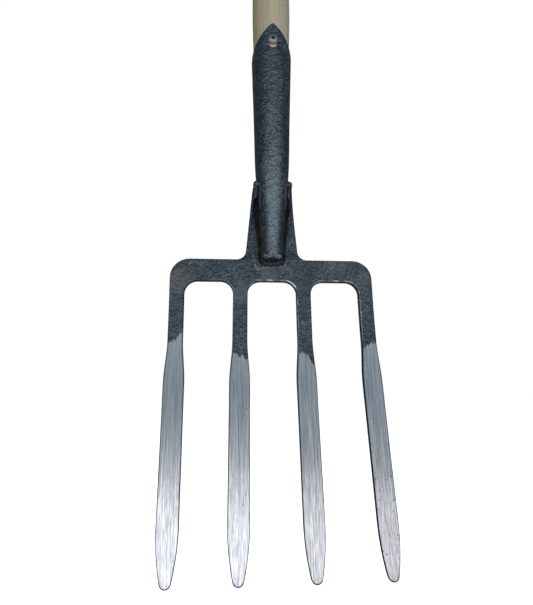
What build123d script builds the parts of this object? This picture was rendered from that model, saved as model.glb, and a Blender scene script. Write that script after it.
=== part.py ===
from build123d import *
from math import cos, radians, sin, tan
import os

# Digging fork: a forged head with four tines, a tapered socket welded into the head's neck,
# and an ash shaft with a turned crosspiece. Millimetres, +Z up the shaft, tines down, front to -Y.
# Heights are measured from the top edge of the crossbar, and level() puts them in the part's frame,
# whose origin is on the shaft's axis at the middle of its straight stretch.

# Shaft and grip
shaft_radius = 18.5
straight_bottom = 246
straight_top = 640
shoulder_radius = 15.5
grip_height = 812
grip_knob = 47
grip_waist = 27
grip_middle_radius = 19
grip_waist_radius = 15.5
grip_end_radius = 17
tenon_radius = 10
tenon_proud = 1
pin_radius = 2.5
wedge_depth = 15
wedge_top = 3.6
wedge_bottom = 0.8

# Socket
socket_wall = 2
socket_stations = ((2, 10.2), (34, 11.2), (76, 15.4), (120, 17.0), (190, 19.1), (229, 20.1))
toe_height = -2
toe_round = 2.5
cavity_floor = 6
wood_end = 34
tongue_tip = 227
tongue_valley = 197
tongue_cut_margin = 4
tongue_cut_height = 20
valley_round = 3
slot_height = 207.3
slot_length = 11
slot_width = 8.4

# Tongue screws
screw_height = 210.3
screw_head_radius = 5
screw_head_rise = 2.4
screw_seat = 19.1
screw_shank_radius = 2.3
screw_length = 15
screw_point = 4
screw_rim = 0.5
screw_dome = (0.66, 0.8)
recess_radius = 1.7
recess_depth = 1.5

# Forged head
tine_spacing = 58.2
tine_neck_width = 13.4
blade_widths = (18.0, 18.1, 17.6, 17.2)
tip_offsets = (0.6, -2.4, 0.2, 2.4)
crossbar_depth = 21
flare_start = -76
flare_end = -114
point_start = -225
point_end = -268.3
nose_rise = 3.7
nose_half_width = 4.6
plate_spare = 6
shoulder_round = 18
crotch_round = 12
neck_round = 9
edge_round = 1.3
plate_centre = 10
crossbar_thickness = 8
bend_thickness = 7
tip_thickness = 4.6
crossbar_tilt = 4.4
blade_tilt = 12.3
bend_height = -75
bend_round = 600
ear_radius = 3.3
ear_place = (15.0, -6.6, 68.7)
ear_root_radius = 2.2
ear_root_place = (15.6, 0.6, 59)
neck_top_round = 2.4

# The neck, station by station: height, half width, then its lip's rounding and front, the half
# width and the front of the groove beside the socket, and the back at its edge and in the middle.
neck_stations = (
    (-8, 25.8, 1.3, 6.9, 12.8, 9.8, 12.4, 13.0),
    (12, 23.8, 1.3, 6.2, 13.6, 10.6, 13.6, 15.0),
    (32, 21.8, 1.5, 5.4, 15.6, 10.4, 12.4, 16.6),
    (54, 19.7, 1.9, 2.0, 15.8, 7.0, 7.5, 17.6),
    (66.5, 18.4, 2.4, -4.6, 14.4, -2.9, 2.6, 17.8),
)
shoulder_fall = 0.3
groove_run = 4.6
stub_bottom = -4
plate_top = 14
hollow_half_widths = (11.8, 13.7)
hollow_bottom = -7
hollow_round = 5
hollow_floor = 11

# Weld beads
side_bead_radius = 1.5
side_bead_end_radius = 1.0
side_bead_top = 69
side_bead_bottom = 46
side_bead_top_angle = 55
side_bead_bottom_angle = 72
toe_bead_radius = 2.0
toe_bead_back = 9.2
toe_bead_half_width = 8.6
toe_bead_top = 12
toe_bead_drop = 3.2
toe_bead_turn = 5

hold_height = (straight_bottom + straight_top) / 2
os.makedirs("parts", exist_ok=True)


def level(height):
    """Height above the crossbar's top edge, in the part's frame."""
    return height - hold_height


def slope(tilt):
    """How far the plate moves forward for each millimetre down."""
    return tan(radians(tilt))


def tine_centre(index):
    """Where a tine leaves the crossbar, across the head."""
    return (index - 1.5) * tine_spacing


def near(value, targets, reach):
    """Whether a value is within reach of any of the targets."""
    return any(abs(value - target) < reach for target in targets)


def wall_radius(height):
    """The socket's radius in its lower part, between two stations."""
    above = 2 if height > socket_stations[1][0] else 1
    (low, low_radius), (high, high_radius) = socket_stations[above - 1 : above + 1]
    return low_radius + (height - low) * (high_radius - low_radius) / (high - low)


def wall_points(inset, lowest):
    """Points up the socket's wall on the right, moved in towards its axis."""
    start = (wall_radius(lowest) - inset, level(lowest))
    return [start] + [(radius - inset, level(height)) for height, radius in socket_stations[1:]]


def framed(side, place):
    """A place given as out, along Y and height, on the right (1) or left (-1) of the head."""
    out, depth, height = place
    return Vector(side * out, depth, level(height))


def rounded_bar(start, end, start_radius, end_radius):
    """A tapered round bar with a ball at each end."""
    with BuildPart() as bar:
        run = Plane(origin=start, z_dir=end - start)
        with BuildSketch(run):
            Circle(start_radius)
        with BuildSketch(run.offset((end - start).length)):
            Circle(end_radius)
        loft()
        with Locations(start):
            Sphere(start_radius)
        with Locations(end):
            Sphere(end_radius)
    return bar


# ---- Socket ---------------------------------------------------------------------------------

# One oblique cut from a tongue's tip down to the valley at the side, square to the wall halfway.
with BuildPart() as tongue_cut:
    corner = socket_stations[-1][1] * sin(radians(45))
    drop = (tongue_tip - tongue_valley) / (2 * corner)
    cut_plane = Plane(origin=(0, 0, 0), x_dir=(1, 1, 0), z_dir=(1, -1, 0))
    with BuildSketch(cut_plane):
        with BuildLine():
            Polyline(
                (corner, level(tongue_valley)),
                (corner, level(tongue_tip + tongue_cut_height)),
                (-corner - tongue_cut_margin, level(tongue_tip + tongue_cut_height)),
                (-corner - tongue_cut_margin, level(tongue_tip + tongue_cut_margin * drop)),
                close=True,
            )
        make_face()
    extrude(amount=2 * shaft_radius)
    mirror(about=Plane.YZ)
    mirror(about=Plane.XZ)

with BuildPart() as socket:
    with BuildSketch(Plane.XZ) as socket_section:
        with BuildLine():
            outside = Spline(*wall_points(0, toe_height + toe_round))
            inside = Spline(*wall_points(socket_wall, cavity_floor))
            Line(outside @ 1, inside @ 1)
            Line(inside @ 0, (0, level(cavity_floor)))
            Line((0, level(cavity_floor)), (0, level(toe_height)))
            foot = Line((0, level(toe_height)), ((outside @ 0).X - toe_round, level(toe_height)))
            RadiusArc(foot @ 1, outside @ 0, -toe_round)
        make_face()
    revolve(axis=Axis.Z)
    add(tongue_cut.part, mode=Mode.SUBTRACT)
    with BuildSketch(Plane.YZ):
        with Locations((0, level(tongue_valley + valley_round))):
            Circle(valley_round)
    extrude(amount=2 * shaft_radius, both=True, mode=Mode.SUBTRACT)
    with BuildSketch(Plane.XZ):
        with Locations((0, level(slot_height))):
            SlotOverall(slot_length, slot_width, rotation=90)
    extrude(amount=2 * shaft_radius, both=True, mode=Mode.SUBTRACT)
socket.part.label = "socket"

# The room that the socket takes in its neighbours, as one solid with no bore or slots.
with BuildPart() as socket_room:
    with BuildSketch(Plane.XZ):
        with BuildLine():
            flank = Spline(*wall_points(0, toe_height + toe_round))
            Line(flank @ 1, (0, (flank @ 1).Y))
            Line((0, (flank @ 1).Y), (0, level(toe_height)))
            base = Line((0, level(toe_height)), ((flank @ 0).X - toe_round, level(toe_height)))
            RadiusArc(base @ 1, flank @ 0, -toe_round)
        make_face()
    revolve(axis=Axis.Z)

# ---- Tongue screws --------------------------------------------------------------------------


def build_screw(facing):
    """A domed screw with a small round recess, pointing in from the front (-1) or the rear (1)."""
    with BuildPart() as screw:
        seat = Plane(
            origin=(0, facing * screw_seat, level(screw_height)),
            x_dir=(1, 0, 0),
            z_dir=(0, facing, 0),
        )
        side = Plane(origin=seat.origin, x_dir=seat.x_dir, z_dir=seat.y_dir)
        with BuildSketch(side):
            with BuildLine():
                rim = Line((screw_head_radius, 0), (screw_head_radius, -screw_rim))
                out, rise = screw_dome
                ThreePointArc(
                    rim @ 1,
                    (screw_head_radius * out, -screw_head_rise * rise),
                    (0, -screw_head_rise),
                )
                Polyline(
                    (0, -screw_head_rise),
                    (0, screw_length),
                    (screw_shank_radius, screw_length - screw_point),
                    (screw_shank_radius, 0),
                    (screw_head_radius, 0),
                )
            make_face()
        revolve(axis=Axis(seat.origin, seat.z_dir))
        with BuildSketch(seat.offset(screw_head_rise)):
            Circle(recess_radius)
        extrude(amount=-recess_depth, mode=Mode.SUBTRACT)
        add(socket.part, mode=Mode.SUBTRACT)
    return screw


front_tongue_screw = build_screw(-1)
front_tongue_screw.part.label = "front_tongue_screw"
rear_tongue_screw = build_screw(1)
rear_tongue_screw.part.label = "rear_tongue_screw"

# ---- Forged head ----------------------------------------------------------------------------

# A flat strap at the crossbar that curls round the socket towards its top.
with BuildPart() as neck:
    for height, half_width, lip_round, front, shoulder, groove, edge_back, back in neck_stations:
        lip = half_width - lip_round
        bulge = lip_round * sin(radians(45))
        shoulder_front = front + shoulder_fall * (groove - front)
        groove_edge = shoulder - groove_run
        with BuildSketch(Plane.XY.offset(level(height))):
            with BuildLine():
                Line((-groove_edge, groove), (groove_edge, groove))
                for side in (-1, 1):
                    Line((side * groove_edge, groove), (side * shoulder, shoulder_front))
                    Line((side * shoulder, shoulder_front), (side * lip, front))
                    ThreePointArc(
                        (side * lip, front),
                        (side * (lip + bulge), front + lip_round - bulge),
                        (side * half_width, front + lip_round),
                    )
                    Line((side * half_width, front + lip_round), (side * half_width, edge_back))
                ThreePointArc((half_width, edge_back), (0, back), (-half_width, edge_back))
            make_face()
    loft()
    # The top edge's outer corner, rounded about the middle of the strap's curl.
    top, top_half_width, edge_back = [neck_stations[-1][place] for place in (0, 1, 6)]
    flat = top_half_width - neck_top_round
    turn = neck_top_round * sin(radians(45))
    with BuildSketch(Plane.XZ.offset(-edge_back)):
        with Locations((0, level(top))):
            with BuildLine():
                ThreePointArc(
                    (flat, 0),
                    (flat + turn, turn - neck_top_round),
                    (top_half_width, -neck_top_round),
                )
                Polyline(
                    (top_half_width, -neck_top_round),
                    (2 * top_half_width, -neck_top_round),
                    (2 * top_half_width, neck_top_round),
                    (flat, neck_top_round),
                    (flat, 0),
                )
            make_face()
    revolve(axis=Axis((0, edge_back, 0), (0, 0, 1)), mode=Mode.SUBTRACT)

with BuildPart() as fork_head:
    bend_centre = plate_centre + bend_height * slope(crossbar_tilt)
    foot_height = point_end - plate_spare
    tip_centre = bend_centre + (foot_height - bend_height) * slope(blade_tilt)
    top_centre = plate_centre + plate_top * slope(crossbar_tilt)
    with BuildSketch(Plane.YZ) as side_profile:
        with BuildLine():
            Polyline(
                (top_centre - crossbar_thickness / 2, level(plate_top)),
                (bend_centre - bend_thickness / 2, level(bend_height)),
                (tip_centre - tip_thickness / 2, level(foot_height)),
                (tip_centre + tip_thickness / 2, level(foot_height)),
                (bend_centre + bend_thickness / 2, level(bend_height)),
                (top_centre + crossbar_thickness / 2, level(plate_top)),
                close=True,
            )
        make_face()
        bends = side_profile.vertices().filter_by(lambda v: abs(v.Y - level(bend_height)) < 1)
        fillet(bends, bend_round)
    extrude(amount=2 * tine_spacing, both=True)

    (foot, foot_half_width), (second, second_half_width) = (row[:2] for row in neck_stations[:2])
    taper = (second_half_width - foot_half_width) / (second - foot)
    stub = [(height, foot_half_width + (height - foot) * taper) for height in (stub_bottom, plate_top)]
    with BuildSketch(Plane.XZ) as outline:
        with Locations((0, level(-crossbar_depth / 2))):
            Rectangle(3 * tine_spacing, crossbar_depth)
        with BuildLine():
            left_side = [(-half_width, level(height)) for height, half_width in stub]
            right_side = [(half_width, level(height)) for height, half_width in stub]
            Polyline(*left_side, *reversed(right_side), close=True)
        make_face()
        for index, (blade_width, tip_offset) in enumerate(zip(blade_widths, tip_offsets)):
            centre = tine_centre(index)
            lean = tip_offset / point_end

            def at(side, half_width, height, centre=centre, lean=lean):
                return (centre + lean * height + side * half_width, level(height))

            half = blade_width / 2
            down = (-lean, -1)
            nose_radius = (nose_half_width**2 + nose_rise**2) / (2 * nose_rise)
            nose_slope = (nose_radius - nose_rise) / nose_half_width
            with BuildLine():
                for side in (-1, 1):
                    Line(at(side, tine_neck_width / 2, 0), at(side, tine_neck_width / 2, flare_start))
                    Spline(
                        at(side, tine_neck_width / 2, flare_start),
                        at(side, half, flare_end),
                        tangents=(down, down),
                    )
                    Line(at(side, half, flare_end), at(side, half, point_start))
                    Spline(
                        at(side, half, point_start),
                        at(side, nose_half_width, point_end + nose_rise),
                        tangents=(down, (-lean - side * nose_slope, -1)),
                    )
                Line(at(-1, tine_neck_width / 2, 0), at(1, tine_neck_width / 2, 0))
                ThreePointArc(
                    at(-1, nose_half_width, point_end + nose_rise),
                    at(0, 0, point_end),
                    at(1, nose_half_width, point_end + nose_rise),
                )
            make_face()
        corners = outline.vertices()
        crotches = corners.filter_by(lambda v: abs(v.Y - level(-crossbar_depth)) < 0.5)
        fillet(crotches, crotch_round)
        edge_of_head = 1.5 * tine_spacing
        shoulders = outline.vertices().filter_by(
            lambda v: abs(v.Y - level(0)) < 0.1 and abs(v.X) > edge_of_head
        )
        fillet(shoulders, shoulder_round)
        roots = outline.vertices().filter_by(
            lambda v: abs(v.Y - level(0)) < 0.1 and abs(v.X) < foot_half_width + 1
        )
        fillet(roots, neck_round)
    extrude(amount=4 * shaft_radius, both=True, mode=Mode.INTERSECT)
    # Every rim of the plate's two faces, but not the seams where the faces' bends begin.
    seam_reach = bend_round * tan(radians(blade_tilt - crossbar_tilt) / 2)
    seams = [level(bend_height + seam_reach), level(bend_height - seam_reach)]
    rims = fork_head.edges().filter_by(Axis.Y, reverse=True)
    rims = rims.filter_by(lambda e: e.bounding_box().size.Z > 1 or not near(e.center().Z, seams, 4))
    rims = rims.filter_by(lambda e: e.center().Z < level(plate_top - 1))
    fillet(rims, edge_round)

    # A hollow in the plate's front, which the neck's groove then fills to its own depth.
    with BuildSketch(Plane.XZ.offset(-hollow_floor)) as hollow:
        narrow, wide = hollow_half_widths
        with BuildLine():
            Polyline(
                (-wide, level(2 * plate_top)),
                (-wide, level(plate_top)),
                (-narrow, level(hollow_bottom)),
                (narrow, level(hollow_bottom)),
                (wide, level(plate_top)),
                (wide, level(2 * plate_top)),
                close=True,
            )
        make_face()
        low_corners = hollow.vertices().filter_by(lambda v: abs(v.Y - level(hollow_bottom)) < 0.1)
        fillet(low_corners, hollow_round)
    extrude(amount=shaft_radius, mode=Mode.SUBTRACT)

    add(neck.part)
    for side in (-1, 1):
        ear = rounded_bar(
            framed(side, ear_place),
            framed(side, ear_root_place),
            ear_radius,
            ear_root_radius,
        )
        add(ear.part)
    add(socket_room.part, mode=Mode.SUBTRACT)
fork_head.part.label = "fork_head"

# ---- Weld beads -----------------------------------------------------------------------------


def on_wall(height, angle, side):
    """A point on the socket's wall, at an angle round from the front."""
    radius = wall_radius(height)
    turn = radians(angle)
    return Vector(side * radius * sin(turn), -radius * cos(turn), level(height))


def build_side_weld(side):
    """A bead in the groove between one ear and the socket, rounded at both ends."""
    with BuildPart() as bead:
        top = on_wall(side_bead_top, side_bead_top_angle, side)
        low = on_wall(side_bead_bottom, side_bead_bottom_angle, side)
        add(rounded_bar(top, low, side_bead_radius, side_bead_end_radius).part)
        add(socket_room.part, mode=Mode.SUBTRACT)
        add(fork_head.part, mode=Mode.SUBTRACT)
    return bead


left_weld = build_side_weld(-1)
left_weld.part.label = "left_weld"
right_weld = build_side_weld(1)
right_weld.part.label = "right_weld"

with BuildPart() as toe_weld:
    with BuildLine(Plane.XZ.offset(-toe_bead_back)) as toe_run:
        FilletPolyline(
            (-toe_bead_half_width, level(toe_bead_top)),
            (-toe_bead_half_width, level(-toe_bead_drop)),
            (toe_bead_half_width, level(-toe_bead_drop)),
            (toe_bead_half_width, level(toe_bead_top)),
            radius=toe_bead_turn,
        )
    with BuildSketch(Plane(origin=toe_run.line @ 0, z_dir=toe_run.line % 0)):
        Circle(toe_bead_radius)
    sweep()
    for end in (0, 1):
        with Locations(toe_run.line @ end):
            Sphere(toe_bead_radius)
    add(socket_room.part, mode=Mode.SUBTRACT)
    add(fork_head.part, mode=Mode.SUBTRACT)
toe_weld.part.label = "toe_weld"

# ---- Grip and shaft -------------------------------------------------------------------------

with BuildPart() as grip_blank:
    with BuildSketch(Plane.XZ):
        with BuildLine():
            cap = grip_end_radius * sin(radians(45))
            barrel = Spline(
                (-grip_knob, level(grip_height + grip_end_radius)),
                (-grip_waist, level(grip_height + grip_waist_radius)),
                (0, level(grip_height + grip_middle_radius)),
                (grip_waist, level(grip_height + grip_waist_radius)),
                (grip_knob, level(grip_height + grip_end_radius)),
                tangents=((1, 0), (1, 0)),
            )
            right_end = (grip_knob + grip_end_radius, level(grip_height))
            left_end = (-grip_knob - grip_end_radius, level(grip_height))
            ThreePointArc(barrel @ 1, (grip_knob + cap, level(grip_height + cap)), right_end)
            Line(right_end, left_end)
            ThreePointArc(left_end, (-grip_knob - cap, level(grip_height + cap)), barrel @ 0)
        make_face()
    revolve(axis=Axis((0, 0, level(grip_height)), (1, 0, 0)))

with BuildPart() as grip_pin:
    with BuildSketch(Plane.XZ):
        with Locations((0, level(grip_height))):
            Circle(pin_radius)
    extrude(amount=2 * grip_middle_radius, both=True)
    add(grip_blank.part, mode=Mode.INTERSECT)
grip_pin.part.label = "grip_pin"

tenon_top = grip_height + grip_middle_radius + tenon_proud
with BuildPart() as tenon_room:
    with BuildSketch(Plane.XY.offset(level(tenon_top))):
        Circle(tenon_radius)
    extrude(amount=-(tenon_top - grip_height + grip_middle_radius))

with BuildPart() as tenon_wedge:
    with BuildSketch(Plane.XZ):
        with BuildLine():
            Polyline(
                (-wedge_top / 2, level(tenon_top)),
                (wedge_top / 2, level(tenon_top)),
                (wedge_bottom / 2, level(tenon_top - wedge_depth)),
                (-wedge_bottom / 2, level(tenon_top - wedge_depth)),
                close=True,
            )
        make_face()
    extrude(amount=tenon_radius, both=True)
    add(tenon_room.part, mode=Mode.INTERSECT)
    add(grip_pin.part, mode=Mode.SUBTRACT)
tenon_wedge.part.label = "tenon_wedge"

with BuildPart() as handle_shaft:
    with BuildSketch(Plane.XZ):
        with BuildLine():
            lower = Spline(*wall_points(socket_wall, cavity_floor))
            neck_in = Spline(
                lower @ 1,
                (shaft_radius, level(straight_bottom)),
                tangents=(lower % 1, (0, 1)),
            )
            straight = Line(neck_in @ 1, (shaft_radius, level(straight_top)))
            taper = Spline(
                straight @ 1,
                (shoulder_radius, level(grip_height)),
                tangents=((0, 1), (-0.03, 1)),
            )
            Line(taper @ 1, (0, level(grip_height)))
            Line((0, level(grip_height)), (0, level(cavity_floor)))
            Line((0, level(cavity_floor)), lower @ 0)
        make_face()
    revolve(axis=Axis.Z)
    split(bisect_by=Plane.XY.offset(level(wood_end)), keep=Keep.TOP)
    add(grip_blank.part, mode=Mode.SUBTRACT)
    add(tenon_room.part)
    for fitted in (tenon_wedge, grip_pin, front_tongue_screw, rear_tongue_screw):
        add(fitted.part, mode=Mode.SUBTRACT)
handle_shaft.part.label = "handle_shaft"

with BuildPart() as t_grip:
    add(grip_blank.part)
    add(tenon_room.part, mode=Mode.SUBTRACT)
    add(grip_pin.part, mode=Mode.SUBTRACT)
t_grip.part.label = "t_grip"

# ---- Files ----------------------------------------------------------------------------------

export_step(fork_head.part, "parts/fork_head.step")
export_step(socket.part, "parts/socket.step")
export_step(left_weld.part, "parts/left_weld.step")
export_step(right_weld.part, "parts/right_weld.step")
export_step(toe_weld.part, "parts/toe_weld.step")
export_step(handle_shaft.part, "parts/handle_shaft.step")
export_step(front_tongue_screw.part, "parts/front_tongue_screw.step")
export_step(rear_tongue_screw.part, "parts/rear_tongue_screw.step")
export_step(t_grip.part, "parts/t_grip.step")
export_step(tenon_wedge.part, "parts/tenon_wedge.step")
export_step(grip_pin.part, "parts/grip_pin.step")
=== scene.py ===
import bmesh
import bpy
from math import cos, pi, radians, sin
from mathutils import Matrix, Vector, noise as random_field
from mathutils.bvhtree import BVHTree


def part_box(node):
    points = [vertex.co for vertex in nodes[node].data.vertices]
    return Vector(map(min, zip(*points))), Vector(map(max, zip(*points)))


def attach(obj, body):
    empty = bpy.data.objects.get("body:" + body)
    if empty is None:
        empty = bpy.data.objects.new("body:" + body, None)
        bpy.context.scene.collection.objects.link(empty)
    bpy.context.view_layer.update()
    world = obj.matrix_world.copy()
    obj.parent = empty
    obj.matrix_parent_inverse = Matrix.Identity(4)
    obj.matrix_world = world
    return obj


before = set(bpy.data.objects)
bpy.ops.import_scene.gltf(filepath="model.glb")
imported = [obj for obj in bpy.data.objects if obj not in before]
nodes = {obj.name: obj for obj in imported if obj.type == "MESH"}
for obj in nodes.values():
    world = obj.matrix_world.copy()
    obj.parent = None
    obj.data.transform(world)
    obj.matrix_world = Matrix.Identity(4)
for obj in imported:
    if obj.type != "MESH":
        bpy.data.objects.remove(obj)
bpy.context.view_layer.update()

# Everything is in metres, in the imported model's frame: +Z up the shaft, tines down, front to -Y.
# Heights are reckoned from the top of the crossbar, which the neck rises above.
NECK_HEIGHT = 0.072
head_low, head_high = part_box("fork_head")
bar_top = head_high.z - NECK_HEIGHT
tip_level = head_low.z
STRAIGHT_BACK = Vector((0, 1, 0))


# ---- Camera, light and floor ----------------------------------------------------------------

# The camera's place, from the shaft's axis at the level of the bar's top, its turns in degrees,
# and its lens and sensor in millimetres.
CAMERA_PLACE = (-0.0441, -0.4640, -0.1220)
CAMERA_YAW = -4.72
CAMERA_PITCH = 9.77
CAMERA_ROLL = -0.26
CAMERA_LENS = 30.94
SENSOR = 36.0


def aim_camera():
    """The camera in front of the head, a little left of the shaft and looking slightly up."""
    data = bpy.data.cameras.new("camera")
    data.lens = CAMERA_LENS
    data.sensor_width = SENSOR
    data.clip_start = 0.01
    data.clip_end = 200
    camera = bpy.data.objects.new("camera", data)
    bpy.context.scene.collection.objects.link(camera)
    yaw = Matrix.Rotation(radians(CAMERA_YAW), 4, "Z")
    pitch = Matrix.Rotation(radians(90 + CAMERA_PITCH), 4, "X")
    roll = Matrix.Rotation(radians(CAMERA_ROLL), 4, "Z")
    place = Vector(CAMERA_PLACE) + Vector((0, 0, bar_top))
    camera.matrix_world = Matrix.Translation(place) @ yaw @ pitch @ roll
    bpy.context.scene.camera = camera


def soft_card(name, place, target, width, height, radiance, colour):
    """A rectangular soft light of a given brightness that faces a target and isn't itself seen."""
    data = bpy.data.lights.new(name, "AREA")
    data.shape = "RECTANGLE"
    data.size = width
    data.size_y = height
    data.energy = radiance * width * height * pi
    data.color = colour
    light = bpy.data.objects.new(name, data)
    light.location = place
    aim = Vector(target) - Vector(place)
    light.rotation_mode = "QUATERNION"
    light.rotation_quaternion = aim.to_track_quat("-Z", "Y")
    light.visible_camera = False
    bpy.context.scene.collection.objects.link(light)


def set_inputs(tree, node, inputs):
    """Sets a shader node's inputs to values, or links them from sockets."""
    for name, value in inputs.items():
        socket = node.inputs[name]
        if isinstance(value, bpy.types.NodeSocket):
            tree.links.new(value, socket)
        else:
            socket.default_value = value


def new_node(tree, kind, inputs=None, **settings):
    """A shader node with its settings, and its inputs set to a value or linked from a socket."""
    made = tree.nodes.new(kind)
    for name, value in settings.items():
        setattr(made, name, value)
    set_inputs(tree, made, inputs or {})
    return made


# The soft lights: name, place with its height above the bar's top, width and height, radiance,
# colour, and whether the light is aimed at the head or faces straight back.
CARDS = (
    ("low_front_card", (1.2, -6.0, -2.75), (22.0, 8.1), 0.5, (0.92, 0.97, 1.0), False),
    ("inner_front_card", (1.2, -5.9, 0.23), (18.0, 2.3), 1.4, (0.97, 0.98, 1.0), False),
    ("high_front_card", (0.8, -5.2, 2.2), (9.0, 1.7), 0.215, (0.64, 0.82, 1.0), True),
    ("back_card", (0.4, 1.6, 3.2), (4.0, 1.6), 1.4, (1, 1, 1), True),
)
AIM_DROP = 0.1
WHITE = (1, 1, 1, 1)
FILL_COLOUR = (0.75, 0.88, 1, 1)
FILL_STRENGTH = 0.10


def light_studio():
    """Soft lights, a faint cool fill, and a white backdrop that only the camera sees."""
    world = bpy.data.worlds.new("studio")
    bpy.context.scene.world = world
    world.use_nodes = True
    tree = world.node_tree
    tree.nodes.clear()
    seen = new_node(tree, "ShaderNodeBackground", {"Color": WHITE, "Strength": 1.0})
    fill = new_node(tree, "ShaderNodeBackground", {"Color": FILL_COLOUR, "Strength": FILL_STRENGTH})
    path = new_node(tree, "ShaderNodeLightPath")
    shares = {0: path.outputs["Is Camera Ray"], 1: fill.outputs[0], 2: seen.outputs[0]}
    mix = new_node(tree, "ShaderNodeMixShader", shares)
    new_node(tree, "ShaderNodeOutputWorld", {"Surface": mix.outputs[0]})
    head_middle = Vector((0, 0, bar_top - AIM_DROP))
    for name, (x, y, above), (width, height), radiance, colour, aimed in CARDS:
        place = Vector((x, y, bar_top + above))
        target = head_middle if aimed else place + STRAIGHT_BACK
        soft_card(name, place, target, width, height, radiance, colour)
    bpy.context.scene.view_settings.view_transform = "Standard"


FLOOR_REACH = 30.0
FLOOR_DROP = 0.25
FLOOR_TONES = (0.86, 0.92)
FLOOR_GLOW = 1.1


def lay_floor():
    """A wide pale floor below the tips, which neither lights nor shades the fork."""
    mesh = bpy.data.meshes.new("floor")
    level = tip_level - FLOOR_DROP
    signs = ((-1, -1), (1, -1), (1, 1), (-1, 1))
    corners = [(x * FLOOR_REACH, y * FLOOR_REACH, level) for x, y in signs]
    mesh.from_pydata(corners, [], [(0, 1, 2, 3)])
    floor = bpy.data.objects.new("floor", mesh)
    bpy.context.scene.collection.objects.link(floor)
    material = bpy.data.materials.new("pale_floor")
    material.use_nodes = True
    tree = material.node_tree
    surface = tree.nodes["Principled BSDF"]
    grain = new_node(tree, "ShaderNodeTexNoise", {"Scale": 3.0, "Detail": 4.0})
    tone = new_node(tree, "ShaderNodeValToRGB", {"Fac": grain.outputs[0]})
    for element, grey in zip(tone.color_ramp.elements, FLOOR_TONES):
        element.color = (grey, grey, grey, 1)
    set_inputs(
        tree,
        surface,
        {
            "Base Color": tone.outputs[0],
            "Roughness": 0.8,
            "Emission Color": WHITE,
            "Emission Strength": FLOOR_GLOW,
        },
    )
    mesh.materials.append(material)
    floor.visible_diffuse = False
    floor.visible_glossy = False
    floor.visible_shadow = False


# ---- Shader helpers -------------------------------------------------------------------------


def new_material(name):
    """A material, its nodes, its surface shader and the place on the object."""
    material = bpy.data.materials.new(name)
    material.use_nodes = True
    tree = material.node_tree
    place = new_node(tree, "ShaderNodeTexCoord").outputs["Object"]
    return material, tree, tree.nodes["Principled BSDF"], place


def axes(tree, vector):
    """A vector's components, as the sockets X, Y and Z."""
    return new_node(tree, "ShaderNodeSeparateXYZ", {0: vector}).outputs


def scaled(tree, vector, scale):
    return new_node(tree, "ShaderNodeMapping", {"Vector": vector, "Scale": scale}).outputs[0]


def distance(tree, place, x, z):
    """How far a place is from a point, seen from the front."""
    at = axes(tree, place)
    flat = new_node(tree, "ShaderNodeCombineXYZ", {"X": at["X"], "Z": at["Z"]}).outputs[0]
    away = new_node(tree, "ShaderNodeVectorMath", {0: flat, 1: (x, 0, z)}, operation="DISTANCE")
    return away.outputs["Value"]


def noise(tree, vector, scale, detail, rough, distortion=0.0):
    inputs = {
        "Vector": vector,
        "Scale": scale,
        "Detail": detail,
        "Roughness": rough,
        "Distortion": distortion,
    }
    return new_node(tree, "ShaderNodeTexNoise", inputs).outputs[0]


def math(tree, operation, first, second=0.0, clamp=False):
    inputs = {0: first, 1: second}
    made = new_node(tree, "ShaderNodeMath", inputs, operation=operation, use_clamp=clamp)
    return made.outputs[0]


def times(tree, first, *others):
    """The product of several values."""
    for other in others:
        first = math(tree, "MULTIPLY", first, other)
    return first


def average(tree, first, second):
    return math(tree, "ADD", times(tree, first, 0.5), times(tree, second, 0.5))


def swing(tree, value, size):
    """A value between 0 and 1 as a shift either way, by up to half the size."""
    return times(tree, math(tree, "SUBTRACT", value, 0.5), size)


def fit(tree, value, low, high, to_low=0.0, to_high=1.0):
    """A smooth step: to_low where the value is low, to_high where it is high."""
    inputs = {0: value, 1: low, 2: high, 3: to_low, 4: to_high}
    made = new_node(tree, "ShaderNodeMapRange", inputs, interpolation_type="SMOOTHSTEP")
    return made.outputs[0]


def under_bar(tree, height, drops):
    """A smooth step from 0 at the first distance below the bar's top to 1 at the second."""
    start, full = drops
    return fit(tree, height, bar_top - start, bar_top - full)


def ramp(tree, value, stops):
    """A colour looked up in a list of values from 0 to 1 and their colours."""
    made = new_node(tree, "ShaderNodeValToRGB", {"Fac": value})
    elements = made.color_ramp.elements
    while len(elements) < len(stops):
        elements.new(0.5)
    for element, (position, colour) in zip(elements, stops):
        element.position = position
        element.color = (*colour, 1)
    return made.outputs[0]


def across_ramp(tree, x, half_width, stops):
    """A colour looked up in a list of distances from the middle and their colours."""
    share = math(tree, "ADD", math(tree, "DIVIDE", x, 2 * half_width), 0.5)
    return ramp(tree, share, [(stop / (2 * half_width) + 0.5, colour) for stop, colour in stops])


def opaque(colour):
    """A colour's three values with its alpha; a socket stays as it is."""
    return (*colour, 1) if isinstance(colour, tuple) else colour


def mixed(tree, factor, first, second, blend="MIX"):
    inputs = {0: factor, 6: opaque(first), 7: opaque(second)}
    return new_node(tree, "ShaderNodeMix", inputs, data_type="RGBA", blend_type=blend).outputs[2]


def mixed_value(tree, factor, first, second):
    inputs = {0: factor, 2: first, 3: second}
    return new_node(tree, "ShaderNodeMix", inputs, data_type="FLOAT").outputs[0]


def mixed_vector(tree, factor, first, second):
    inputs = {0: factor, 4: first, 5: second}
    return new_node(tree, "ShaderNodeMix", inputs, data_type="VECTOR").outputs[1]


def bump(tree, height, depth, strength, normal=None):
    """The normal of a surface with a pattern of the given depth, on top of another if given."""
    inputs = {"Height": height, "Distance": depth, "Strength": strength}
    if normal is not None:
        inputs["Normal"] = normal
    return new_node(tree, "ShaderNodeBump", inputs).outputs[0]


# ---- Lacquer --------------------------------------------------------------------------------

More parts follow.
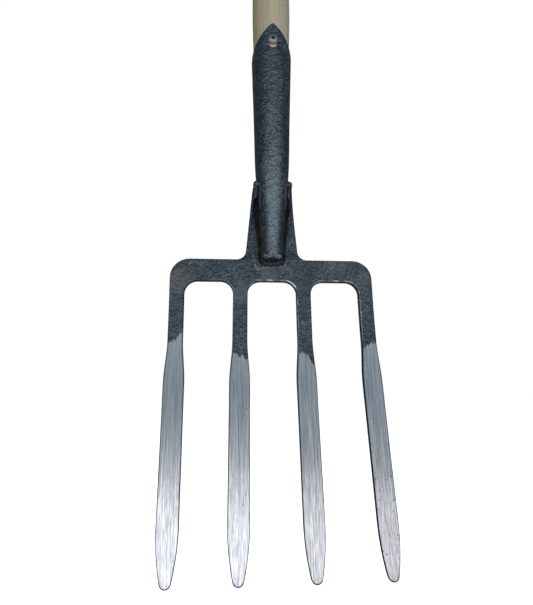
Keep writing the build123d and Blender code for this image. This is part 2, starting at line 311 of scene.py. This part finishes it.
# The lacquer's index of refraction: on the head, on the socket, where it is thicker, and on the
# side welds, where it is thin.
HEAD_GLOSS = 1.85
SOCKET_GLOSS = 2.45
SIDE_WELD_GLOSS = 1.5
LACQUER_TINT = (0.72, 0.88, 1.0, 1)

LACQUER_TONES = (
    (0.32, (0.004, 0.0075, 0.012)),
    (0.52, (0.010, 0.016, 0.024)),
    (0.68, (0.030, 0.041, 0.053)),
)
THIN_LACQUER = ((0.035, 0.032, 0.029), (0.20, 0.175, 0.155))
# Light flecks in the lacquer, partly the forging scale's own speckle and partly painted glints.
LACQUER_FLECKS_AND_GLINTS = (0.22, 0.235, 0.24)
LACQUER_SCRATCHES = (0.17, 0.17, 0.16)

# Where the lacquer on the crossbar is thin and brownish: across, below the bar's top, radius.
BROWN_PATCHES = (
    (-0.085, 0.022, 0.013),
    (-0.029, 0.032, 0.011),
    (-0.003, 0.017, 0.010),
    (0.060, 0.005, 0.012),
    (0.086, 0.016, 0.009),
)
MOST_BROWN = 0.65


def brown_patches(tree, place, ragged):
    """How brownish the lacquer is, from 0 to MOST_BROWN, in soft ragged patches."""
    total = fit(tree, ragged, 0.62, 0.75, 0.0, 0.5)
    for x, drop, radius in BROWN_PATCHES:
        away = distance(tree, place, x, bar_top - drop)
        edge = math(tree, "ADD", away, swing(tree, ragged, 2 * radius))
        total = math(tree, "ADD", total, fit(tree, edge, 1.2 * radius, 0.0, 0.0, 0.8))
    return math(tree, "MINIMUM", total, MOST_BROWN)


# The openings' rims are worn where they face this way. The wear sets in between these distances
# below the bar's top, and grows from faint to full between these places across the head.
WORN_FACING = (-0.45, 0.0, -0.89)
WEAR_BELOW = (0.010, 0.014)
WEAR_ACROSS = (-0.04, -0.01)
FAINT_WEAR = 0.15


def rim_wear(tree, place, grit):
    """1 on the openings' front rims that face down or to the left, where the lacquer is thin."""
    normal = new_node(tree, "ShaderNodeNewGeometry").outputs["Normal"]
    pair = {0: normal, 1: WORN_FACING}
    facing = new_node(tree, "ShaderNodeVectorMath", pair, operation="DOT_PRODUCT")
    down = fit(tree, facing.outputs["Value"], -0.02, 0.06)
    front = fit(tree, axes(tree, normal)["Y"], -0.25, -0.5)
    patchy = fit(tree, grit, 0.4, 0.6, 0.1, 0.9)
    at = axes(tree, place)
    below = under_bar(tree, at["Z"], WEAR_BELOW)
    rightward = fit(tree, at["X"], *WEAR_ACROSS, FAINT_WEAR, 1.0)
    return times(tree, down, front, patchy, below, rightward)


SCRATCH_WARP = 0.012
MOST_SCRATCHED = 0.55


def scratches(tree, place):
    """Thin light scratches, here and there, along the edges of a warped cell pattern."""
    warp = new_node(tree, "ShaderNodeTexNoise", {"Vector": place, "Scale": 90.0, "Detail": 2.0})
    amount = {0: warp.outputs[1], 1: (SCRATCH_WARP,) * 3}
    shift = new_node(tree, "ShaderNodeVectorMath", amount, operation="MULTIPLY")
    moved = {0: place, 1: shift.outputs[0]}
    warped = new_node(tree, "ShaderNodeVectorMath", moved, operation="ADD")
    pattern = {"Vector": warped.outputs[0], "Scale": 170.0}
    cells = new_node(tree, "ShaderNodeTexVoronoi", pattern, feature="DISTANCE_TO_EDGE")
    line = fit(tree, cells.outputs["Distance"], 0.09, 0.03)
    here = fit(tree, noise(tree, place, 75, 2, 0.6), 0.48, 0.62, 0.0, MOST_SCRATCHED)
    return times(tree, line, here)


def paint_look(tree, place):
    """Thin dark blue-grey lacquer over forging scale: colour, roughness and the bump's normal."""
    broad = noise(tree, place, 55, 3, 0.6)
    mottle = noise(tree, place, 190, 4, 0.7, 0.6)
    grit = noise(tree, place, 900, 2, 0.6)
    base = ramp(tree, mottle, LACQUER_TONES)
    base = mixed(tree, 1.0, base, fit(tree, broad, 0.35, 0.65, 0.55, 1.5), "MULTIPLY")
    base = mixed(tree, brown_patches(tree, place, broad), base, mixed(tree, mottle, *THIN_LACQUER))
    # Light flecks: partly the scale's speckle, partly painted glints.
    base = mixed(tree, fit(tree, grit, 0.61, 0.71, 0.0, 0.75), base, LACQUER_FLECKS_AND_GLINTS)
    base = mixed(tree, scratches(tree, place), base, LACQUER_SCRATCHES)
    rough = mixed_value(tree, mottle, 0.16, 0.34)
    normal = bump(tree, mottle, 0.0010, 0.9)
    normal = bump(tree, grit, 0.0004, 0.6, normal)
    return base, rough, normal


def painted(name, gloss):
    """A lacquered part, with the lacquer's index of refraction."""
    material, tree, surface, place = new_material(name)
    colour, rough, normal = paint_look(tree, place)
    set_inputs(tree, surface, {"Base Color": colour, "Roughness": rough, "Normal": normal})
    set_inputs(tree, surface, {"IOR": gloss, "Specular Tint": LACQUER_TINT})
    return material


# ---- Ground steel ---------------------------------------------------------------------------

# A little over half the head's width: distances across the head are looked up as far as this.
HALF_WIDTH = 0.1
UPPER_STEEL = (
    (0.40, (0.60, 0.62, 0.64)),
    (0.51, (0.82, 0.83, 0.84)),
    (0.60, (0.97, 0.97, 0.98)),
)
# The lower blades' look: shorter streaks, which are the steel's own, and darker tones, which are
# painted shade tempering the brighter reflection the lower blades catch.
SHADED_LOWER_STEEL = (
    (0.42, (0.30, 0.31, 0.34)),
    (0.50, (0.50, 0.50, 0.52)),
    (0.58, (0.70, 0.69, 0.70)),
)
# Between these distances below the bar's top the upper look gives way to the lower, in streaks.
LOWER_STEEL_FROM = (0.150, 0.205)
STREAK_SHIFT = 0.06
# Painted shade on each blade's lower part, standing in for a sheen that differs with each
# blade's tilt: how bright it is, by distance across the head, and where it sets in.
LOW_BLADE_SHADE = ((-0.087, 0.96), (-0.029, 0.93), (0.029, 0.74), (0.087, 0.64))
LOW_TONES_FROM = (0.13, 0.20)
# Dark pits, which crowd together on the outer blade to the right of these distances across.
PITTED_SIDE = (0.074, 0.080)
PIT_CROWDING = 0.09
PIT_COLOUR = (0.03, 0.03, 0.035)
# The scuffed ends of the points, and painted shade on the blades' sides, which face sideways.
SCUFFED_POINT = 0.013
SCUFF_COLOUR = (0.22, 0.22, 0.23)
SHADED_SIDE_STEEL = (0.09, 0.10, 0.11)


def steel_look(tree, place):
    """Steel ground in long fine streaks, with pits, scuffed points and painted shade on its sides
    and lower part.
    """
    fine = noise(tree, scaled(tree, place, (1, 0.02, 0.016)), 1600, 3, 0.7)
    wide = noise(tree, scaled(tree, place, (1, 0.03, 0.02)), 900, 4, 0.75)
    short = noise(tree, scaled(tree, place, (1, 0.06, 0.05)), 1500, 3, 0.7)
    spots = noise(tree, place, 520, 1, 0.5)
    at = axes(tree, place)
    tone = average(tree, fine, wide)
    upper = ramp(tree, tone, UPPER_STEEL)
    lower = ramp(tree, average(tree, short, tone), SHADED_LOWER_STEEL)
    streaky = math(tree, "ADD", at["Z"], swing(tree, fine, STREAK_SHIFT))
    colour = mixed(tree, under_bar(tree, streaky, LOWER_STEEL_FROM), upper, lower)
    # Painted shade: the lower blades are darkened, the right-hand ones most.
    low = under_bar(tree, at["Z"], LOW_TONES_FROM)
    low_shade = across_ramp(tree, at["X"], HALF_WIDTH, [(x, (grey,) * 3) for x, grey in LOW_BLADE_SHADE])
    colour = mixed(tree, low, colour, mixed(tree, 1.0, colour, low_shade, "MULTIPLY"))
    crowded = times(tree, fit(tree, at["X"], *PITTED_SIDE), low, PIT_CROWDING)
    pit = fit(tree, math(tree, "ADD", spots, crowded), 0.77, 0.80, 0.0, 0.85)
    colour = mixed(tree, pit, colour, PIT_COLOUR)
    point = fit(tree, at["Z"], tip_level + SCUFFED_POINT, tip_level + 0.002, 0.0, 0.7)
    scuff = fit(tree, noise(tree, place, 900, 2, 0.6), 0.48, 0.60)
    colour = mixed(tree, times(tree, point, scuff), colour, SCUFF_COLOUR)
    # Painted shade: faces that point sideways are given a dark steel colour.
    normal = new_node(tree, "ShaderNodeNewGeometry").outputs["Normal"]
    sideways = math(tree, "ABSOLUTE", axes(tree, normal)["X"])
    colour = mixed(tree, fit(tree, sideways, 0.7, 0.9), colour, SHADED_SIDE_STEEL)
    rough = mixed_value(tree, wide, 0.14, 0.22)
    normal = bump(tree, fine, 0.0001, 0.2)
    return colour, rough, normal


# ---- The head, lacquered above and ground below ---------------------------------------------

# Where the lacquer ends on each tine: distance across the head, and height below the bar's top.
LACQUER_ENDS = (
    (-0.094, 0.080),
    (-0.080, 0.070),
    (-0.038, 0.086),
    (-0.020, 0.095),
    (0.021, 0.084),
    (0.038, 0.098),
    (0.079, 0.086),
    (0.096, 0.077),
)
LACQUER_RAGGED = 0.022
LACQUER_FADE = 0.0006
# The ramp holds only colours, so the heights go through it as greys, this many times as large.
GREY_PER_METRE = 10.0


def lacquer_mask(tree, place):
    """1 where the lacquer is, 0 on bare steel, with a ragged scratched edge."""
    at = axes(tree, place)
    greys = [(x, (drop * GREY_PER_METRE,) * 3) for x, drop in LACQUER_ENDS]
    drop = math(tree, "DIVIDE", across_ramp(tree, at["X"], HALF_WIDTH, greys), GREY_PER_METRE)
    edge = math(tree, "SUBTRACT", bar_top, drop)
    ragged = noise(tree, scaled(tree, place, (1, 1, 0.35)), 240, 3, 0.7)
    edge = math(tree, "ADD", edge, swing(tree, ragged, LACQUER_RAGGED))
    above = math(tree, "SUBTRACT", at["Z"], edge)
    return fit(tree, above, -LACQUER_FADE, LACQUER_FADE)


# How far the neck's front looks hammered back: height above the bar's top, run and depth.
NECK_EASES = ((0.0, 0.046, 0.0042), (0.046, 0.017, 0.0055))


def ease_neck(tree, place, normal):
    """The paint's normal, leaned up as if the neck's front were hammered back in two steps."""
    height = axes(tree, place)["Z"]
    for start, run, depth in NECK_EASES:
        above = math(tree, "SUBTRACT", height, bar_top + start)
        above = math(tree, "DIVIDE", above, run, clamp=True)
        normal = bump(tree, math(tree, "SUBTRACT", 1.0, above), depth, 1.0, normal)
    return normal


# The grooves beside the socket: their distance from the middle, their bottom and top above the
# bar's top, and how softly the painted fill light in them ends at each.
GROOVE = (0.0152, 0.003, 0.060)
GROOVE_FADES = (0.0015, 0.006, 0.012)
# Painted fill light: the lighter grey that the paint takes in the grooves beside the socket.
GROOVE_FILL_COLOUR = (0.060, 0.063, 0.060)


def groove_painted_fill(tree, place):
    """How much painted fill light lightens the paint: 1 down in the grooves beside the socket,
    where little light reaches.
    """
    aside, bottom, top = GROOVE
    side_fade, bottom_fade, top_fade = GROOVE_FADES
    at = axes(tree, place)
    beside = fit(tree, math(tree, "ABSOLUTE", at["X"]), aside + side_fade, aside - side_fade)
    above = fit(tree, at["Z"], bar_top + bottom, bar_top + bottom + bottom_fade)
    below = fit(tree, at["Z"], bar_top + top, bar_top + top - top_fade)
    patchy = fit(tree, noise(tree, place, 260, 3, 0.7), 0.3, 0.65, 0.35, 1.0)
    return times(tree, beside, patchy, above, below)


def head_material():
    """Lacquer on the bar, the neck and the tops of the tines, and ground steel on the blades."""
    material, tree, surface, place = new_material("forged_head")
    paint, paint_rough, paint_normal = paint_look(tree, place)
    # Painted fill light: the grooves beside the socket are lightened to a mid grey.
    paint = mixed(tree, groove_painted_fill(tree, place), paint, GROOVE_FILL_COLOUR)
    paint_normal = ease_neck(tree, place, paint_normal)
    steel, steel_rough, steel_normal = steel_look(tree, place)
    worn = rim_wear(tree, place, noise(tree, place, 80, 2, 0.6))
    mask = times(tree, lacquer_mask(tree, place), math(tree, "SUBTRACT", 1.0, worn))
    set_inputs(
        tree,
        surface,
        {
            "Base Color": mixed(tree, mask, steel, paint),
            "Roughness": mixed_value(tree, mask, steel_rough, paint_rough),
            "Metallic": mixed_value(tree, mask, 1.0, 0.0),
            "Normal": mixed_vector(tree, mask, steel_normal, paint_normal),
            "IOR": HEAD_GLOSS,
            "Specular Tint": LACQUER_TINT,
        },
    )
    return material


# ---- Wood -----------------------------------------------------------------------------------

GRAIN_X = 0
GRAIN_Z = 2
GRAIN_SQUEEZE = 0.012
RING_TONES = (
    (0.25, (0.53, 0.455, 0.31)),
    (0.42, (0.65, 0.58, 0.42)),
    (0.75, (0.725, 0.66, 0.50)),
)
PORE_COLOUR = (0.38, 0.33, 0.235)
# The shaft's tone across its front, from left to right: distance from its axis, brightness.
# The orange-brown streak near the left edge is the wood's own; the rest is painted shade,
# lighter in the middle and darker toward the edges, most on the left.
WOOD_STREAK_AND_SHADE = (
    (-0.0185, (0.93, 0.94, 0.93)),
    (-0.0160, (0.98, 0.78, 0.58)),
    (-0.0140, (0.98, 0.94, 0.86)),
    (-0.0085, (0.92, 0.90, 0.85)),
    (-0.0060, (1.00, 0.99, 0.95)),
    (0.0050, (1.02, 1.00, 0.95)),
    (0.0120, (0.97, 0.98, 0.97)),
    (0.0185, (0.97, 0.99, 0.98)),
)
SHAFT_HALF = 0.0185
TONE_DRIFT = 0.004
# The fresh wood just below the front screw: how far it reaches down and to either side.
FRESH_REACH = 0.006
FRESH_FADE = 0.001
FRESH_WOOD = (0.88, 0.66, 0.48)


def shaft_tones(tree, base, rings, place):
    """The wood's colour, with painted shade darker and lighter across the shaft, and fresh below
    the front screw.
    """
    at = axes(tree, place)
    # Painted shade across the shaft's front, drifting a little with the rings.
    drifting = math(tree, "ADD", at["X"], swing(tree, rings, TONE_DRIFT))
    tones = across_ramp(tree, drifting, SHAFT_HALF, WOOD_STREAK_AND_SHADE)
    base = mixed(tree, 1.0, base, tones, "MULTIPLY")
    screw_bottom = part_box("front_tongue_screw")[0].z
    reach_bottom = screw_bottom - FRESH_REACH
    below = fit(tree, at["Z"], screw_bottom + FRESH_FADE, screw_bottom)
    beside = fit(tree, math(tree, "ABSOLUTE", at["X"]), FRESH_REACH, FRESH_REACH - FRESH_FADE)
    above = fit(tree, at["Z"], reach_bottom, reach_bottom + FRESH_FADE)
    return mixed(tree, times(tree, below, beside, above), base, FRESH_WOOD)


def wood(name, along):
    """Weathered ash, with its grain along the given axis."""
    material, tree, surface, place = new_material(name)
    squeeze = [1.0, 1.0, 1.0]
    squeeze[along] = GRAIN_SQUEEZE
    grain = scaled(tree, place, tuple(squeeze))
    rings = noise(tree, grain, 260, 3, 0.6, 0.3)
    pores = noise(tree, grain, 800, 3, 0.7)
    base = ramp(tree, rings, RING_TONES)
    base = mixed(tree, fit(tree, pores, 0.47, 0.64, 0.0, 0.45), base, PORE_COLOUR)
    if along == GRAIN_Z:
        base = shaft_tones(tree, base, rings, place)
    normal = bump(tree, pores, 0.0002, 0.5)
    set_inputs(tree, surface, {"Base Color": base, "Roughness": 0.62, "Normal": normal})
    return material


# ---- Welds, screws and the pin --------------------------------------------------------------

WELD_TONES = ((0.006, 0.007, 0.009), (0.12, 0.14, 0.16))
WELD_BARE = 0.4
SPATTER_TONES = ((0.02, 0.022, 0.025), (0.80, 0.84, 0.88))
SPATTER_BARE = 1.0
PIN_COLOUR = (0.55, 0.55, 0.55)
PIN_ROUGHNESS = 0.35
RECESS_RADIUS = 0.0017
# Painted shade: the dark colour of the screws' drive recess.
RECESS_SHADE = (0.012, 0.012, 0.014)
PLATED_TONES = ((0.29, 0.30, 0.32), (0.44, 0.46, 0.49))


def metal(name, colour, rough):
    """Worn bare metal of one colour."""
    material, tree, surface, place = new_material(name)
    wear = noise(tree, place, 900, 3, 0.6)
    darker = tuple(0.6 * c for c in colour)
    set_inputs(
        tree,
        surface,
        {
            "Base Color": mixed(tree, wear, darker, colour),
            "Roughness": mixed_value(tree, wear, rough - 0.08, rough + 0.1),
            "Metallic": 1.0,
            "Normal": bump(tree, wear, 0.0002, 0.4),
        },
    )
    return material


def weld_look(name, dark, light, bare):
    """Lumpy painted weld with light specks, which are bare metal to the given share."""
    material, tree, surface, place = new_material(name)
    lumps = noise(tree, place, 420, 3, 0.7)
    grit = noise(tree, place, 1100, 2, 0.6)
    speck = fit(tree, grit, 0.42, 0.60)
    lumpy = bump(tree, lumps, 0.003, 1.0)
    set_inputs(
        tree,
        surface,
        {
            "Base Color": mixed(tree, speck, dark, light),
            "Metallic": times(tree, speck, bare),
            "Roughness": 0.3,
            "IOR": HEAD_GLOSS,
            "Normal": bump(tree, grit, 0.0006, 0.8, lumpy),
        },
    )
    return material


def screw_look(name, node_name):
    """Dull plated steel with painted shade in the drive recess."""
    material, tree, surface, place = new_material(name)
    low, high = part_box(node_name)
    middle = (low + high) / 2
    away = distance(tree, place, middle.x, middle.z)
    recess = fit(tree, away, 1.04 * RECESS_RADIUS, 0.98 * RECESS_RADIUS)
    wear = noise(tree, place, 900, 3, 0.6)
    set_inputs(
        tree,
        surface,
        {
            "Base Color": mixed(tree, recess, mixed(tree, wear, *PLATED_TONES), RECESS_SHADE),
            "Roughness": mixed_value(tree, wear, 0.42, 0.6),
            "Metallic": mixed_value(tree, recess, 0.7, 0.2),
            "Normal": bump(tree, wear, 0.0002, 0.4),
        },
    )
    return material


def dress(name, material):
    """Gives a CAD node its material."""
    node = nodes[name]
    node.data.materials.clear()
    node.data.materials.append(material)


# ---- Weld spatter ---------------------------------------------------------------------------

# The runs of spatter round the toe: points across the head and below the bar's top, in millimetres,
# then each run's name, what it lies on, its radius in metres and its points.
LOW_RUN = ((-16.5, 4), (-15, 8), (-12, 10), (-8, 8.5), (-4, 8), (-1, 7))
LEFT_RUN = ((-18, -6), (-16.5, -2), (-17, 1), (-14.5, 3))
RIGHT_RUN = ((6, 6.5), (9, 7.5), (12.5, 6), (13.5, 1))
TOE_RUN = ((-8.4, -2), (-7, 0), (-3.5, 1.3), (0, 0.5), (4, 1.4), (8, -0.5))
SPATTER_RUNS = (
    ("low_spatter", "fork_head", 0.0010, LOW_RUN),
    ("left_spatter", "fork_head", 0.0009, LEFT_RUN),
    ("right_spatter", "fork_head", 0.0008, RIGHT_RUN),
    ("toe_rim", "socket", 0.0013, TOE_RUN),
)
MM_PER_METRE = 1000
# How many steps each stretch of a run is made in, and how many sides a bead has.
SPATTER_STEPS = 14
SPATTER_SIDES = 8
# How finely a bead's thickness, path and surface vary, and how far before the head to look from.
SWELL_GRAIN = 900
WANDER_GRAIN = 420
LUMP_GRAIN = 1500
STAND_OFF = 0.1
# How much wider a bead is than it is high.
SPATTER_SPREAD = 1.5


def run_places(run, under):
    """The places along a run of points, on the front of the part under it."""
    surface = BVHTree.FromObject(under, bpy.context.evaluated_depsgraph_get())
    places = []
    for (x, drop), (next_x, next_drop) in zip(run, run[1:]):
        for step in range(SPATTER_STEPS):
            share = step / SPATTER_STEPS
            across = (x + (next_x - x) * share) / MM_PER_METRE
            height = bar_top - (drop + (next_drop - drop) * share) / MM_PER_METRE
            start = Vector((across, head_low.y - STAND_OFF, height))
            places.append(surface.ray_cast(start, STRAIGHT_BACK)[0])
    return places


def spatter_rings(bm, places, radius):
    """Rings of points round a ragged path, which swells here and there and thins at its ends."""
    rings = []
    for index, place in enumerate(places):
        after = places[min(index + 1, len(places) - 1)]
        before = places[max(index - 1, 0)]
        along = (after - before).normalized()
        side = along.cross(STRAIGHT_BACK).normalized()
        end = min(index, len(places) - 1 - index) / SPATTER_STEPS
        swell = 0.9 + 0.8 * random_field.noise(place * SWELL_GRAIN)
        thick = radius * swell * min(1.0, 0.15 + 2 * end)
        wander = side * 1.2 * radius * random_field.noise(place * WANDER_GRAIN)
        ring = []
        for turn in range(SPATTER_SIDES):
            angle = 2 * pi * turn / SPATTER_SIDES
            out = side * cos(angle) * SPATTER_SPREAD - STRAIGHT_BACK * sin(angle)
            lump = 1 + 0.7 * random_field.noise(place * LUMP_GRAIN + out * 3)
            ring.append(bm.verts.new(place + wander + out * thick * lump))
        rings.append(ring)
    return rings


def build_spatter(name, radius, run, under, material):
    """A ragged low bead of weld metal along a run of points on the front of a part."""
    bm = bmesh.new()
    rings = spatter_rings(bm, run_places(run, under), radius)
    for ring, following in zip(rings, rings[1:]):
        for turn in range(SPATTER_SIDES):
            other = (turn + 1) % SPATTER_SIDES
            bm.faces.new((ring[turn], ring[other], following[other], following[turn]))
    bm.faces.new(rings[0])
    bm.faces.new(reversed(rings[-1]))
    bmesh.ops.recalc_face_normals(bm, faces=bm.faces)
    for face in bm.faces:
        face.smooth = True
    mesh = bpy.data.meshes.new(name)
    bm.to_mesh(mesh)
    bm.free()
    mesh.materials.append(material)
    piece = bpy.data.objects.new(name, mesh)
    bpy.context.scene.collection.objects.link(piece)
    finer = piece.modifiers.new("finer", "SUBSURF")
    finer.levels = 1
    finer.render_levels = 1
    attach(piece, "root")


# ---- The scene ------------------------------------------------------------------------------

aim_camera()
light_studio()
lay_floor()

dress("fork_head", head_material())
dress("socket", painted("socket_paint", SOCKET_GLOSS))
dress("toe_weld", weld_look("weld_paint", *WELD_TONES, WELD_BARE))
for bead in ("left_weld", "right_weld"):
    dress(bead, painted("side_weld_paint", SIDE_WELD_GLOSS))
spatter = weld_look("weld_spatter", *SPATTER_TONES, SPATTER_BARE)
for name, under, radius, run in SPATTER_RUNS:
    build_spatter(name, radius, run, nodes[under], spatter)
dress("handle_shaft", wood("ash_wood", GRAIN_Z))
dress("t_grip", wood("grip_wood", GRAIN_X))
dress("tenon_wedge", wood("wedge_wood", GRAIN_X))
for screw in ("front_tongue_screw", "rear_tongue_screw"):
    dress(screw, screw_look(screw + "_steel", screw))
dress("grip_pin", metal("pin_steel", PIN_COLOUR, PIN_ROUGHNESS))
